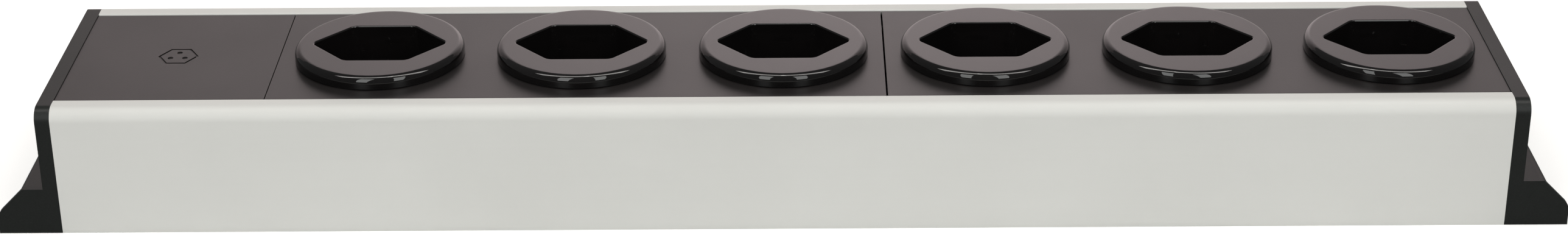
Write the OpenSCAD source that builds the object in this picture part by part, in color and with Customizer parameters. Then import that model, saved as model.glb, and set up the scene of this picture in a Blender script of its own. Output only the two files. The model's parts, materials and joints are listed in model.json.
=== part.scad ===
// Desk power strip: an aluminium profile with two black end caps that carry the mounting feet,
// a blank cover over the wiring space and two three-gang modules of hexagonal, three-pin sockets.
// Millimetres, +Z up. X runs along the strip, the front is at -Y, and the origin is the centre of
// the footprint, on the surface that the strip stands on.

/* [Profile] */
// Depth of the aluminium profile, front to back
profile_depth = 74; // [73:0.5:78]
// Height of the profile
profile_height = 38; // [37.5:0.5:40]
// Thickness of the profile's floor, sides and lips
profile_wall = 2; // [1.8:0.1:2.2]
// Radius of the two long top edges
edge_radius = 4; // [3:0.5:5]
// Width of each top lip, from the outer face to its free edge
lip_width = 7.2; // [6.8:0.1:7.6]
// Radius of the rounded free edge of a lip
lip_edge_radius = 0.5; // [0.3:0.1:0.8]

/* [Covers] */
// Distance between neighbouring socket centres
gang_pitch = 58; // [56:0.5:60]
// Length of the blank cover over the wiring space
blank_length = 58.5; // [56:0.1:64]
// Joint between the blank cover and the first cover plate
cover_gap = 0.25; // [0.1:0.05:0.5]
// Joint between the two cover plates
plate_gap = 0.5; // [0.1:0.05:0.8]
// How far the covers lie below the top of the lips
cover_recess = 0.3; // [0:0.1:0.6]

/* [Socket inserts] */
// Diameter of the round flange
flange_diameter = 48.6; // [47:0.2:50]
// Height of the flange above the cover plate
flange_height = 3.9; // [3:0.1:5]
// Radius of the flange's upper outer edge
flange_edge_radius = 2; // [1:0.1:2.4]
// Width of the hexagonal recess across its flats
recess_across_flats = 23.7; // [23:0.1:24]
// Width of the recess across its tips, before they are rounded
recess_across_tips = 38.8; // [38:0.1:40]
// Length of each of the two flats
recess_flat_length = 17.8; // [16:0.1:19]
// Depth of the recess below the flange's top
recess_depth = 12; // [11.5:0.1:12]
// Distance between the live and neutral pins
pin_pitch = 19; // [19:1:19]
// Offset of the earth pin from the line between the other two
earth_offset = 5; // [5:1:5]
// Radius of the three holes in the recess floor
pin_hole_radius = 2.5; // [2.3:0.1:2.6]

/* [End caps] */
// Thickness of an end cap outside the profile
cap_thickness = 4.2; // [3.5:0.1:5]
// How far a foot reaches beyond its end cap
foot_reach = 13.6; // [12:0.1:16]
// Thickness of the foot's flange
foot_thickness = 3; // [2.5:0.1:4]
// Height of the two gussets
gusset_height = 13.7; // [12:0.1:15]
// Length of a gusset's level top
gusset_top = 5.9; // [5:0.1:7]
// Thickness of a gusset
gusset_thickness = 1.8; // [1.5:0.1:2.5]
// Radius of the four screw holes in the feet
foot_hole_radius = 2.25; // [1.75:0.25:2.75]
// Distance between the two screw holes of one foot
foot_hole_spacing = 50; // [44:1:54]

/* [Shutters] */
// Travel of a shutter, from closed to clear of the pins
shutter_travel = 5.8; // [5.6:0.1:5.9]

/* [Hidden] */
$fn = 64;
half_depth = profile_depth / 2;
end_clearance = 0.05;
plate_length = 3 * gang_pitch - 0.5;
profile_length = blank_length + 2 * plate_length + cover_gap + plate_gap + 2 * end_clearance;
half_length = profile_length / 2;
cover_top = profile_height - cover_recess;
flange_top = cover_top + flange_height;
SIDES = [-1, 1];
GANGS = [-1, 0, 1];

// Centres of the three sections along X
blank_centre = -half_length + end_clearance + blank_length / 2;
right_centre = half_length - end_clearance - plate_length / 2;
left_centre = right_centre - plate_length - plate_gap;

// Inside of the profile
rail_top = profile_height - profile_wall - 2.1;
rail_thickness = 1.5;
rail_reach = 4.6;
port_radius = 3.4;
port_bore_radius = 1.45;
port_slot = 1.6;
port_inset = 4.7;
port_low_z = 8;
port_high_z = rail_top - rail_thickness - 2.6;
PORT_HEIGHTS = [port_low_z, port_high_z];

// Covers
cover_side_clearance = 0.2;
cover_underside = rail_top + 0.2;
cover_flange_top = profile_height - profile_wall - 0.2;
cover_flange_half = half_depth - profile_wall - 1.8;
cover_edge_radius = 0.3;
mark_radius = 5.8;
mark_line = 0.7;
mark_depth = 0.3;
mark_dot_radius = 0.8;
mark_dot_ring = 2.4;

// Socket inserts and the bases below them
cup_radius = 21.8;
cup_clearance = 0.2;
cup_floor = 2;
recess_floor_z = flange_top - recess_depth;
cup_bottom_z = recess_floor_z - cup_floor;
hook_width = 5;
hook_reach = 1.3;
hook_height = 1;
recess_mouth = 0.4;
tip_radius = 2;
corner_radius = 3;
base_length = plate_length - 12;
base_half_depth = 24;
base_bottom_z = 5;
base_top_z = cup_bottom_z - 0.2;
tie_x = gang_pitch / 2;
tie_y = 21.4;
boss_radius = 3.2;
screw_radius = 1.45;

// Bus bars: a strip, tabs out to the pin line and a spring sleeve under each pin hole
strip_width = 7;
strip_thickness = 0.8;
strip_tail = 3.5;
live_y = 13;
neutral_y = -15;
strip_z = 10.9;
earth_strip_width = 6;
earth_strip_z = 6.5;
tab_width = 5;
sleeve_outer = 3;
sleeve_inner = 2.05;
sleeve_top_z = 20.6;
earth_sleeve_top_z = base_top_z - 1;
sleeve_slit = 0.8;
channel_clearance = 0.35;
channel_top_z = 12;
earth_channel_top_z = 8.6;
chamber_radius = 3.5;
cover_sheet_bottom_z = 3.4;
cover_sheet_top_z = 4.9;

// Shutters: two ramped pads joined by a bar, pushed shut by a coil spring
pocket_floor_z = 21.6;
pocket_half_length = 14.3;
pocket_front_y = -3.6;
spring_seat = 4.8;
pad_inner_x = 5.2;
pad_outer_x = 13.8;
pad_half_depth = 3.2;
pocket_back_y = pad_half_depth + shutter_travel + spring_seat;
shutter_bottom_z = pocket_floor_z + 0.3;
shutter_top_z = cup_bottom_z - 0.6;
ramp_toe = 0.8;
bar_front_y = -1.2;
bar_back_y = 0.8;
spring_radius = 1.8;
spring_wire = 0.45;
spring_turns = 8;
spring_steps = 10;

// Mains inlet, in the left end cap
inlet_z = 19.5;
inlet_collar = [27, 19];
inlet_cavity = [24.4, 16.4];
inlet_cavity_depth = 17;
inlet_chamfer = 5;
inlet_depth = 22;
inlet_flange = [50, 20];
inlet_flange_thickness = 3;
inlet_screw_y = 20;
inlet_clearance = 0.2;
inlet_pin_pitch = 14;
inlet_pin_offset = 2;
inlet_pin_size = [2, 4];
inlet_pin_tip = 2;
receptacle_start = inlet_depth + 1.3;
inlet_tab = [6.3, 0.8, 4.8];
receptacle_length = 9;
INLET_PINS = [[inlet_pin_pitch / 2, -inlet_pin_offset],
    [-inlet_pin_pitch / 2, -inlet_pin_offset],
    [0, inlet_pin_offset]];

// Wires: radius over the insulation, and routes between the inlet, the bars and the earth lug
wire_radius = 1.5;
wire_sides = 8;
wire_steps = 3;
cap_face_x = -half_length - cap_thickness;
receptacle_end_x = cap_face_x + receptacle_start + receptacle_length + 0.2;
first_tail_x = left_centre - base_length / 2 - strip_tail;
lug_x = blank_centre + 10;
lug_y = 20;
wire_lift = strip_thickness + wire_radius + 0.2;
LIVE_ROUTE = [
    [receptacle_end_x, inlet_pin_pitch / 2, inlet_z - inlet_pin_offset],
    [receptacle_end_x + 2, inlet_pin_pitch / 2, inlet_z - inlet_pin_offset],
    [receptacle_end_x + 6, 8, inlet_z - 3],
    [receptacle_end_x + 11, 11.5, 15.5],
    [first_tail_x - 3, live_y, strip_z + wire_lift],
    [first_tail_x + 3, live_y, strip_z + wire_lift]];
NEUTRAL_ROUTE = [
    [receptacle_end_x, -inlet_pin_pitch / 2, inlet_z - inlet_pin_offset],
    [receptacle_end_x + 2, -inlet_pin_pitch / 2, inlet_z - inlet_pin_offset],
    [receptacle_end_x + 6, -8, inlet_z - 3],
    [receptacle_end_x + 11, -13, 15.5],
    [first_tail_x - 3, neutral_y, strip_z + wire_lift],
    [first_tail_x + 3, neutral_y, strip_z + wire_lift]];
EARTH_ROUTE = [
    [receptacle_end_x, 0, inlet_z + inlet_pin_offset],
    [receptacle_end_x + 2, 0, inlet_z + inlet_pin_offset],
    [receptacle_end_x + 6, -1.2, inlet_z + 1],
    [receptacle_end_x + 12, -3.6, 13],
    [first_tail_x - 4, -earth_offset, earth_strip_z + wire_lift],
    [first_tail_x + 3, -earth_offset, earth_strip_z + wire_lift]];
BOND_ROUTE = [
    [first_tail_x - 1, -1, 6.2],
    [first_tail_x - 6, 3, 5.2],
    [first_tail_x - 8, 9, 4.6],
    [lug_x + 5, lug_y - 6.5, 4.4],
    [lug_x + 1.2, lug_y - 5.6, 4.4]];

// Centre of a socket along X, counted from the left
function socket_x(number) =
    (number <= 3 ? left_centre : right_centre) + ((number - 1) % 3 - 1) * gang_pitch;

// Points of an arc in a plane, both ends included
function arc_points(centre, radius, from, to, steps = 8) = [
    for (i = [0 : steps])
        let (angle = from + (to - from) * i / steps)
        centre + radius * [cos(angle), sin(angle)]];

// A point on the smooth curve through a route, between its points i and i + 1
function route_end(route, i) = route[max(0, min(len(route) - 1, i))];
function curve_point(route, i, t) =
    let (a = route_end(route, i - 1), b = route_end(route, i),
        c = route_end(route, i + 1), d = route_end(route, i + 2))
    0.5 * (2 * b + (c - a) * t + (2 * a - 5 * b + 4 * c - d) * t ^ 2
        + (3 * b - a - 3 * c + d) * t ^ 3);
function smooth_route(route) = [
    for (i = [0 : len(route) - 2])
        for (k = [0 : wire_steps - 1]) curve_point(route, i, k / wire_steps),
    route[len(route) - 1]];

// Direction of a path at point i
function unit(v) = v / norm(v);
function path_direction(path, i) =
    unit(path[min(len(path) - 1, i + 1)] - path[max(0, i - 1)]);

// A round tube along a path, as rings of points joined by triangles. The path is never
// parallel to the reference direction, which keeps the rings from twisting.
module tube(path, radius, sides, reference) {
    rings = len(path);
    points = [
        for (i = [0 : rings - 1])
            let (along = path_direction(path, i), side = unit(cross(along, reference)),
                up = cross(side, along))
            for (k = [0 : sides - 1])
                path[i] + radius * (side * cos(360 * k / sides) + up * sin(360 * k / sides))];
    walls = [
        for (i = [0 : rings - 2])
            for (k = [0 : sides - 1])
                let (near = i * sides, far = near + sides, next = (k + 1) % sides)
                each [[near + k, far + next, far + k], [near + k, near + next, far + next]]];
    first_end = [for (k = [sides - 1 : -1 : 0]) k];
    last_end = [for (k = [0 : sides - 1]) (rings - 1) * sides + k];
    polyhedron(points, concat(walls, [first_end], [last_end]), convexity = 6);
}

// Turns a drawing in depth (Y) and height (Z) into a length along X, from x = 0
module along_x(length) {
    rotate([90, 0, 90]) linear_extrude(length, convexity = 8) children();
}

// A drawing in length (X) and height (Z) turned into a depth along Y, from y = 0
module along_y(depth) {
    translate([0, depth, 0]) rotate([90, 0, 0]) linear_extrude(depth) children();
}

// Outline with a square foot and two rounded top corners
module arch(half, height, radius) {
    translate([-half, 0]) square([2 * half, height - radius]);
    translate([radius - half, 0]) square([2 * (half - radius), height]);
    for (side = SIDES) translate([side * (half - radius), height - radius]) circle(radius);
}

// A block that fills a range in depth (Y) and height (Z), of some thickness along X
module plate_yz(x, thickness, y_range, z_range) {
    translate([x, y_range[0], z_range[0]])
        cube([thickness, y_range[1] - y_range[0], z_range[1] - z_range[0]]);
}

// ---- Profile -------------------------------------------------------------------------------

module lip_edges() {
    // Rounds the free edge of each lip, above and below
    edge_y = half_depth - lip_width;
    for (side = SIDES, z = [lip_edge_radius, profile_wall - lip_edge_radius])
        translate([side * (edge_y + lip_edge_radius), profile_height - z])
            circle(lip_edge_radius, $fn = 32);
}

module profile_shell() {
    cavity_half = half_depth - profile_wall;
    cavity_height = profile_height - 2 * profile_wall;
    opening_half = half_depth - lip_width + lip_edge_radius;
    difference() {
        arch(half_depth, profile_height, edge_radius);
        translate([0, profile_wall]) arch(cavity_half, cavity_height, edge_radius - profile_wall);
        translate([-opening_half, profile_height / 2])
            square([2 * opening_half, profile_height]);
    }
    lip_edges();
    for (side = SIDES)
        translate([side > 0 ? opening_half - lip_edge_radius : -opening_half,
            profile_height - profile_wall + lip_edge_radius])
            square([lip_edge_radius, profile_wall - 2 * lip_edge_radius]);
}

module profile_rails() {
    for (side = SIDES)
        translate([side > 0 ? half_depth - profile_wall - rail_reach
            : profile_wall - half_depth - 0.1, rail_top - rail_thickness])
            square([rail_reach + 0.1, rail_thickness]);
}

module housing_profile() {
    port_y = half_depth - port_inset;
    color([0.86, 0.87, 0.85]) translate([-half_length, 0, 0]) difference() {
        along_x(profile_length) difference() {
            union() {
                profile_shell();
                profile_rails();
                for (side = SIDES, z = PORT_HEIGHTS)
                    translate([side * port_y, z]) circle(port_radius);
            }
            for (side = SIDES, z = PORT_HEIGHTS) translate([side * port_y, z]) {
                circle(port_bore_radius, $fn = 32);
                translate([side > 0 ? -port_radius - 1 : 0, -port_slot / 2])
                    square([port_radius + 1, port_slot]);
            }
        }
        translate([half_length + lug_x, lug_y, -1])
            cylinder(r = port_bore_radius, h = profile_wall + 2, $fn = 32);
    }
}

// ---- End caps ------------------------------------------------------------------------------

module gusset_outline() {
    nose_radius = 4;
    slope_drop = foot_reach - gusset_top;
    corner_z = gusset_height - slope_drop;
    nose_z = corner_z - nose_radius * tan(22.5);
    nose_x = foot_reach - nose_radius;
    polygon(concat(
        [[-1, 0], [foot_reach, 0]],
        arc_points([nose_x, nose_z], nose_radius, 0, 45),
        [[gusset_top, gusset_height], [-1, gusset_height]]));
}

// The foot's flange from the side: its outer edge is rounded on top
module flange_outline() {
    edge_radius = foot_thickness - 0.2;
    polygon(concat(
        [[-1, 0], [foot_reach, 0]],
        arc_points([foot_reach - edge_radius, 0.2], edge_radius, 0, 90),
        [[-1, foot_thickness]]));
}

module foot() {
    translate([cap_thickness, 0, 0]) difference() {
        union() {
            translate([0, -half_depth, 0]) along_y(profile_depth) flange_outline();
            for (y = [-half_depth, half_depth - gusset_thickness])
                translate([0, y, 0]) along_y(gusset_thickness) gusset_outline();
        }
        for (side = SIDES) translate([foot_reach / 2, side * foot_hole_spacing / 2, -1])
            cylinder(r = foot_hole_radius, h = foot_thickness + 2, $fn = 48);
    }
}

// A right-hand cap: inner face at x = 0, foot towards +X
module end_cap() {
    spigot_depth = 4;
    spigot_wall = 1.6;
    spigot_y = 27.5;
    spigot_z = [2.4, 31.4];
    cap_screw_radius = 1.7;
    screw_head_radius = 2.7;
    sink_depth = 1.7;
    difference() {
        union() {
            along_x(cap_thickness) arch(half_depth, profile_height, edge_radius);
            difference() {
                plate_yz(-spigot_depth, spigot_depth + 0.5, [-spigot_y, spigot_y], spigot_z);
                plate_yz(-spigot_depth - 1, spigot_depth + 1,
                    [spigot_wall - spigot_y, spigot_y - spigot_wall],
                    [spigot_z[0] + spigot_wall, spigot_z[1] - spigot_wall]);
            }
            foot();
        }
        for (side = SIDES, z = PORT_HEIGHTS)
            translate([0, side * (half_depth - port_inset), z]) rotate([0, 90, 0]) {
                translate([0, 0, -1])
                    cylinder(r = cap_screw_radius, h = cap_thickness + 2, $fn = 48);
                translate([0, 0, cap_thickness - sink_depth]) cylinder(r1 = cap_screw_radius,
                    r2 = screw_head_radius, h = sink_depth, $fn = 48);
            }
    }
}

module inlet_outline(size, chamfer) {
    half_y = size[0] / 2;
    half_z = size[1] / 2;
    polygon([[-half_y, -half_z], [half_y, -half_z], [half_y, half_z - chamfer],
        [half_y - chamfer, half_z], [chamfer - half_y, half_z], [-half_y, half_z - chamfer]]);
}

module end_cap_left() {
    collar_hole = [inlet_collar[0] + 2 * inlet_clearance, inlet_collar[1] + 2 * inlet_clearance];
    screw_hole_radius = 1.7;
    sink_radius = 3.9;
    color([0.15, 0.16, 0.16]) difference() {
        translate([-half_length, 0, 0]) mirror([1, 0, 0]) end_cap();
        translate([cap_face_x - 1, 0, inlet_z]) along_x(cap_thickness + 2)
            inlet_outline(collar_hole, 0.5);
        for (side = SIDES) translate([cap_face_x - 1, side * inlet_screw_y, inlet_z])
            rotate([0, 90, 0]) {
                cylinder(r = screw_hole_radius, h = cap_thickness + 2, $fn = 32);
                cylinder(r1 = sink_radius, r2 = screw_hole_radius, h = 2.8, $fn = 48);
            }
    }
}

module end_cap_right() {
    color([0.15, 0.16, 0.16]) translate([half_length, 0, 0]) end_cap();
}

// A countersunk screw along +Z: head face at z = 0, point towards +Z, with a cross recess
module countersunk_screw(length, radius, head_radius, head_height) {
    slot_length = head_radius * 1.2;
    slot_width = 0.8;
    tip_length = 1.5;
    difference() {
        union() {
            cylinder(r1 = head_radius, r2 = radius, h = head_height, $fn = 48);
            cylinder(r = radius, h = length - tip_length, $fn = 32);
            translate([0, 0, length - tip_length])
                cylinder(r1 = radius, r2 = radius / 3, h = tip_length, $fn = 32);
        }
        for (angle = [0, 90]) rotate(angle) translate([-slot_length / 2, -slot_width / 2, -0.1])
            cube([slot_length, slot_width, 1.2]);
    }
}

module end_cap_screws() {
    color([0.45, 0.46, 0.48])
        for (end = SIDES, side = SIDES, z = PORT_HEIGHTS)
            translate([end * (half_length + cap_thickness - 0.1),
                side * (half_depth - port_inset), z])
                rotate([0, end > 0 ? -90 : 90, 0]) countersunk_screw(16, 1.4, 2.5, 1.5);
}

// ---- Covers --------------------------------------------------------------------------------

// Cross-section of a cover: a raised middle between the lips, flanges under them
module cover_outline() {
    middle_half = half_depth - lip_width - cover_side_clearance;
    radius = cover_edge_radius;
    translate([-middle_half, cover_underside])
        square([2 * middle_half, cover_top - radius - cover_underside]);
    translate([radius - middle_half, cover_underside])
        square([2 * (middle_half - radius), cover_top - cover_underside]);
    for (side = SIDES) translate([side * (middle_half - radius), cover_top - radius])
        circle(radius, $fn = 32);
    translate([-cover_flange_half, cover_underside])
        square([2 * cover_flange_half, cover_flange_top - cover_underside]);
}

// A simple mark: a hexagon drawn as a line, with three dots in it
module cover_mark() {
    difference() {
        circle(mark_radius, $fn = 6);
        circle(mark_radius - mark_line, $fn = 6);
    }
    for (angle = [90, 210, 330]) rotate(angle) translate([mark_dot_ring, 0])
        circle(mark_dot_radius, $fn = 32);
}

module blank_cover() {
    color([0.33, 0.31, 0.31]) difference() {
        translate([blank_centre - blank_length / 2, 0, 0]) along_x(blank_length) cover_outline();
        translate([blank_centre, 0, cover_top - mark_depth])
            linear_extrude(mark_depth + 1) cover_mark();
    }
}

module cover_plate(centre) {
    boss_z = base_top_z + 0.2;
    color([0.35, 0.33, 0.33]) difference() {
        union() {
            translate([centre - plate_length / 2, 0, 0]) along_x(plate_length) cover_outline();
            for (along = SIDES, side = SIDES)
                translate([centre + along * tie_x, side * tie_y, boss_z])
                    cylinder(r = boss_radius, h = cover_underside - boss_z + 0.5, $fn = 48);
        }
        for (gang = GANGS)
            translate([centre + gang * gang_pitch, 0, cover_underside - 1])
                cylinder(r = cup_radius + cup_clearance, h = 6, $fn = 96);
        for (along = SIDES, side = SIDES)
            translate([centre + along * tie_x, side * tie_y, boss_z - 1])
                cylinder(r = screw_radius + 0.05, h = 6, $fn = 32);
    }
}

// ---- Socket inserts ------------------------------------------------------------------------

// One rounded corner of the recess: turn is the outward direction, half_turn half the bend
function corner_arc(corner, radius, turn, half_turn) =
    arc_points(corner - radius / cos(half_turn) * [cos(turn), sin(turn)], radius,
        turn - half_turn, turn + half_turn, 6);

// The six-sided outline of the recess, with rounded corners, grown by an amount
module recess_outline(grow = 0) {
    half_flats = recess_across_flats / 2 + grow;
    slope = atan2(recess_across_flats / 2, (recess_across_tips - recess_flat_length) / 2);
    tip_x = recess_across_tips / 2 + grow / sin(slope);
    shoulder_x = tip_x - half_flats / tan(slope);
    tip_turn = 90 - slope;
    shoulder_turn = 90 - slope / 2;
    polygon(concat(
        corner_arc([tip_x, 0], tip_radius + grow, 0, tip_turn),
        corner_arc([shoulder_x, half_flats], corner_radius + grow, shoulder_turn, slope / 2),
        corner_arc([-shoulder_x, half_flats], corner_radius + grow, 180 - shoulder_turn,
            slope / 2),
        corner_arc([-tip_x, 0], tip_radius + grow, 180, tip_turn),
        corner_arc([-shoulder_x, -half_flats], corner_radius + grow, 180 + shoulder_turn,
            slope / 2),
        corner_arc([shoulder_x, -half_flats], corner_radius + grow, -shoulder_turn, slope / 2)));
}

// Half of the insert's turned section: cup wall, flange and its rounded edge
module insert_section() {
    outer = flange_diameter / 2;
    foot_radius = 0.4;
    polygon(concat(
        [[0, cup_bottom_z], [cup_radius - 0.5, cup_bottom_z], [cup_radius, cup_bottom_z + 0.5],
            [cup_radius, cover_top + 0.02], [outer - foot_radius, cover_top + 0.02]],
        arc_points([outer - foot_radius, cover_top + foot_radius + 0.02], foot_radius, -90, 0),
        arc_points([outer - flange_edge_radius, flange_top - flange_edge_radius],
            flange_edge_radius, 0, 90),
        [[0, flange_top]]));
}

module socket_insert(number) {
    color([0.06, 0.06, 0.06]) translate([socket_x(number), 0, 0]) difference() {
        union() {
            rotate_extrude($fn = 128) insert_section();
            for (side = SIDES)
                translate([-hook_width / 2, side > 0 ? cup_radius - 1 : 1 - cup_radius - 1
                    - hook_reach, cover_underside - 0.2 - hook_height])
                    cube([hook_width, hook_reach + 1, hook_height]);
        }
        translate([0, 0, recess_floor_z]) linear_extrude(recess_depth + 1) recess_outline();
        translate([0, 0, flange_top - recess_mouth / 2])
            linear_extrude(recess_mouth) recess_outline(recess_mouth / 2);
        for (x = SIDES * pin_pitch / 2) translate([x, 0, cup_bottom_z - 1])
            cylinder(r = pin_hole_radius, h = cup_floor + 2, $fn = 48);
        translate([0, -earth_offset, cup_bottom_z - 1])
            cylinder(r = pin_hole_radius, h = cup_floor + 2, $fn = 48);
    }
}

// ---- Shutters ------------------------------------------------------------------------------

module shutter(number) {
    pad_length = pad_outer_x - pad_inner_x;
    crest = 0.8;
    color([0.85, 0.85, 0.82]) translate([socket_x(number), 0, 0]) {
        for (side = SIDES)
            translate([side > 0 ? pad_inner_x : -pad_outer_x, 0, 0]) along_x(pad_length)
                polygon([[-pad_half_depth, shutter_bottom_z], [pad_half_depth, shutter_bottom_z],
                    [pad_half_depth, shutter_top_z], [pad_half_depth - crest, shutter_top_z],
                    [-pad_half_depth, shutter_bottom_z + ramp_toe]]);
        translate([-pad_inner_x - 0.5, bar_front_y, shutter_bottom_z])
            cube([2 * pad_inner_x + 1, bar_back_y - bar_front_y, 4]);
    }
}

// A coil spring between the shutter's bar and the back of its pocket
module shutter_spring(number) {
    length = pocket_back_y - bar_back_y - 2 * spring_wire - 0.1;
    axis_z = shutter_bottom_z + 2.2;
    steps = spring_turns * spring_steps;
    path = [
        for (i = [0 : steps])
            let (angle = 360 * i / spring_steps)
            [spring_radius * cos(angle), bar_back_y + 0.05 + spring_wire + length * i / steps,
                axis_z + spring_radius * sin(angle)]];
    color([0.7, 0.7, 0.72]) translate([socket_x(number), 0, 0])
        tube(path, spring_wire / 2, 5, [0, 1, 0]);
}

// ---- Bases and bus bars --------------------------------------------------------------------

// A straight channel, open below, for a strip and its tails
module bar_channel(y, width, top_z) {
    half = width / 2 + channel_clearance;
    translate([-base_length / 2 - 1, y - half, base_bottom_z - 1])
        cube([base_length + 2, 2 * half, top_z - base_bottom_z + 1]);
}

// The space for one tab, from its strip to the pin line
module tab_channel(x, y) {
    half = tab_width / 2 + channel_clearance;
    translate([x - half, min(0, y), base_bottom_z - 1])
        cube([2 * half, abs(y), channel_top_z - base_bottom_z + 1]);
}

module module_base(centre) {
    neck_radius = pin_hole_radius + 0.1;
    color([0.75, 0.74, 0.7]) translate([centre, 0, 0]) difference() {
        translate([-base_length / 2, -base_half_depth, base_bottom_z])
            cube([base_length, 2 * base_half_depth, base_top_z - base_bottom_z]);
        bar_channel(live_y, strip_width, channel_top_z);
        bar_channel(neutral_y, strip_width, channel_top_z);
        bar_channel(-earth_offset, earth_strip_width, earth_channel_top_z);
        for (gang = GANGS) translate([gang * gang_pitch, 0, 0]) {
            tab_channel(-pin_pitch / 2, live_y);
            tab_channel(pin_pitch / 2, neutral_y);
            for (x = SIDES * pin_pitch / 2) translate([x, 0, base_bottom_z - 1]) {
                cylinder(r = chamber_radius, h = sleeve_top_z + 1.2 - base_bottom_z, $fn = 48);
                cylinder(r = neck_radius, h = base_top_z - base_bottom_z, $fn = 48);
            }
            translate([0, -earth_offset, base_bottom_z - 1])
                cylinder(r = chamber_radius, h = base_top_z - base_bottom_z + 2, $fn = 48);
            translate([-pocket_half_length, pocket_front_y, pocket_floor_z])
                cube([2 * pocket_half_length, pocket_back_y - pocket_front_y,
                    base_top_z - pocket_floor_z + 1]);
        }
        for (along = SIDES, side = SIDES)
            translate([along * tie_x, side * tie_y, base_bottom_z - 1])
                cylinder(r = screw_radius + 0.15, h = base_top_z - base_bottom_z + 2, $fn = 32);
    }
}

// Closes the base from below; its ribs hold the strips up
module base_cover(centre) {
    rib = 2;
    thickness = cover_sheet_top_z - cover_sheet_bottom_z;
    rib_length = base_length - 6;
    color([0.2, 0.2, 0.2]) translate([centre, 0, 0]) difference() {
        union() {
            translate([-base_length / 2, -base_half_depth, cover_sheet_bottom_z])
                cube([base_length, 2 * base_half_depth, thickness]);
            for (rail = [[live_y, strip_z], [neutral_y, strip_z], [-earth_offset, earth_strip_z]])
                translate([-rib_length / 2, rail[0] - rib / 2, cover_sheet_bottom_z])
                    cube([rib_length, rib, rail[1] - cover_sheet_bottom_z - 0.05]);
        }
        for (along = SIDES, side = SIDES)
            translate([along * tie_x, side * tie_y, cover_sheet_bottom_z]) {
                translate([0, 0, -1]) cylinder(r = screw_radius + 0.15, h = 4, $fn = 32);
                translate([0, 0, -0.01])
                    cylinder(r1 = 3, r2 = screw_radius + 0.15, h = 1.5, $fn = 48);
            }
    }
}

module module_screws(centre) {
    color([0.6, 0.6, 0.62]) for (along = SIDES, side = SIDES)
        translate([centre + along * tie_x, side * tie_y, cover_sheet_bottom_z + 0.05])
            countersunk_screw(27, screw_radius, 2.8, 1.4);
}

// A slit tube that grips a pin
module spring_sleeve(bottom_z, top_z) {
    translate([0, 0, bottom_z]) difference() {
        cylinder(r = sleeve_outer, h = top_z - bottom_z, $fn = 48);
        translate([0, 0, -1]) cylinder(r = sleeve_inner, h = top_z - bottom_z + 2, $fn = 48);
        for (angle = [45, 135]) rotate(angle)
            translate([-sleeve_outer - 1, -sleeve_slit / 2, 1.5])
                cube([2 * sleeve_outer + 2, sleeve_slit, top_z - bottom_z]);
    }
}

// A strip, with a tab and a sleeve for each socket of the module
module bus_bar(centre, y, offset_x) {
    length = base_length + 2 * strip_tail;
    sleeve_seat = 0.3;
    color([0.8, 0.62, 0.3]) translate([centre, 0, 0]) {
        translate([-length / 2, y - strip_width / 2, strip_z])
            cube([length, strip_width, strip_thickness]);
        for (gang = GANGS) translate([gang * gang_pitch + offset_x, 0, 0]) {
            translate([-tab_width / 2, min(0, y), strip_z])
                cube([tab_width, abs(y), strip_thickness]);
            translate([0, 0, strip_z])
                cylinder(r = sleeve_outer + sleeve_seat, h = strip_thickness, $fn = 48);
            spring_sleeve(strip_z + strip_thickness - 0.1, sleeve_top_z);
        }
    }
}

module earth_bar(centre) {
    length = base_length + 2 * strip_tail;
    color([0.8, 0.62, 0.3]) translate([centre, -earth_offset, 0]) {
        translate([-length / 2, -earth_strip_width / 2, earth_strip_z])
            cube([length, earth_strip_width, strip_thickness]);
        for (gang = GANGS) translate([gang * gang_pitch, 0, 0])
            spring_sleeve(earth_strip_z + strip_thickness - 0.1, earth_sleeve_top_z);
    }
}

// ---- Mains inlet ---------------------------------------------------------------------------

module inlet_body() {
    color([0.12, 0.12, 0.12]) translate([cap_face_x, 0, inlet_z]) difference() {
        union() {
            translate([0.1, 0, 0]) along_x(inlet_depth) inlet_outline(inlet_collar, 0.7);
            plate_yz(cap_thickness + 0.1, inlet_flange_thickness,
                [-inlet_flange[0] / 2, inlet_flange[0] / 2],
                [-inlet_flange[1] / 2, inlet_flange[1] / 2]);
        }
        translate([-1, 0, 0]) along_x(inlet_cavity_depth + 1)
            inlet_outline(inlet_cavity, inlet_chamfer);
        for (pin = INLET_PINS)
            plate_yz(0, inlet_depth + 2,
                [pin[0] - inlet_pin_size.x / 2 - 0.05, pin[0] + inlet_pin_size.x / 2 + 0.05],
                [pin[1] - inlet_pin_size.y / 2 - 0.05, pin[1] + inlet_pin_size.y / 2 + 0.05]);
        for (side = SIDES) translate([0, side * inlet_screw_y, 0])
            rotate([0, 90, 0]) cylinder(r = port_bore_radius, h = 10, $fn = 32);
    }
}

module inlet_pins() {
    color([0.8, 0.62, 0.3]) translate([cap_face_x, 0, inlet_z]) for (pin = INLET_PINS)
        translate([0, pin[0], pin[1]]) {
            translate([inlet_pin_tip, -inlet_pin_size.x / 2, -inlet_pin_size.y / 2])
                cube([inlet_depth + 1 - inlet_pin_tip, inlet_pin_size.x, inlet_pin_size.y]);
            translate([inlet_depth + 0.5, -inlet_tab.y / 2, -inlet_tab.z / 2])
                cube([inlet_tab.x + 0.5, inlet_tab.y, inlet_tab.z]);
        }
}

module inlet_screws() {
    color([0.45, 0.46, 0.48]) for (side = SIDES)
        translate([cap_face_x + 0.1, side * inlet_screw_y, inlet_z])
            rotate([0, 90, 0]) countersunk_screw(8, 1.4, 2.7, 1.4);
}

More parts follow.
